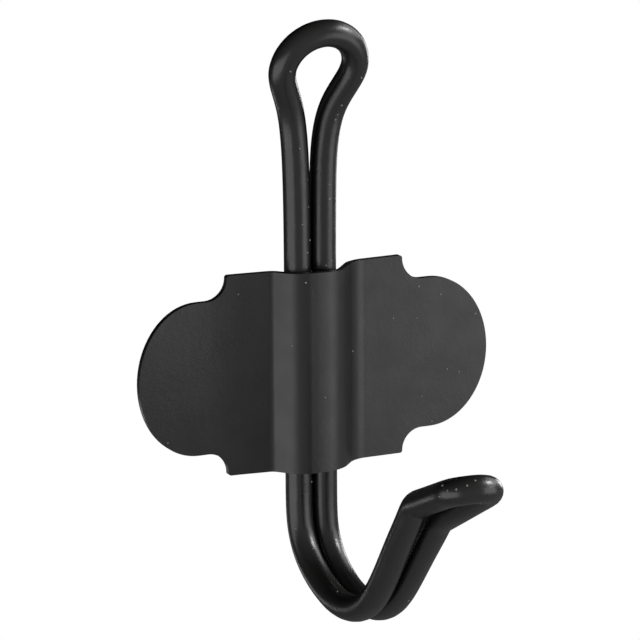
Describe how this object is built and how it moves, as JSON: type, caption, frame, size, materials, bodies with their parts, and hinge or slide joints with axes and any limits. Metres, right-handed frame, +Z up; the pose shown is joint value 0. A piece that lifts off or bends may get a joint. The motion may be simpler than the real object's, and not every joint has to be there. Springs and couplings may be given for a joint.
{
  "type": "wall hook",
  "caption": "Black steel wall hook: a round rod bent double into an eye, legs and an upturned hook, under an arched pressed plate with a rounded lobe at each end.",
  "frame": {"origin": "in the wall plane behind the wings, midway between the two legs, at the plate's mid-height", "axes": "+Y into the wall, -Y the way the hook reaches, +X along the plate to the right as seen from the front, +Z up"},
  "size_m": [0.0856, 0.0855, 0.1313],
  "materials": {
    "rod_coating": "satin black coating",
    "plate_coating": "satin black coating"
  },
  "bodies": {
    "root": {"hook_rod": "rod_coating", "face_plate": "plate_coating"}
  },
  "joints": []
}
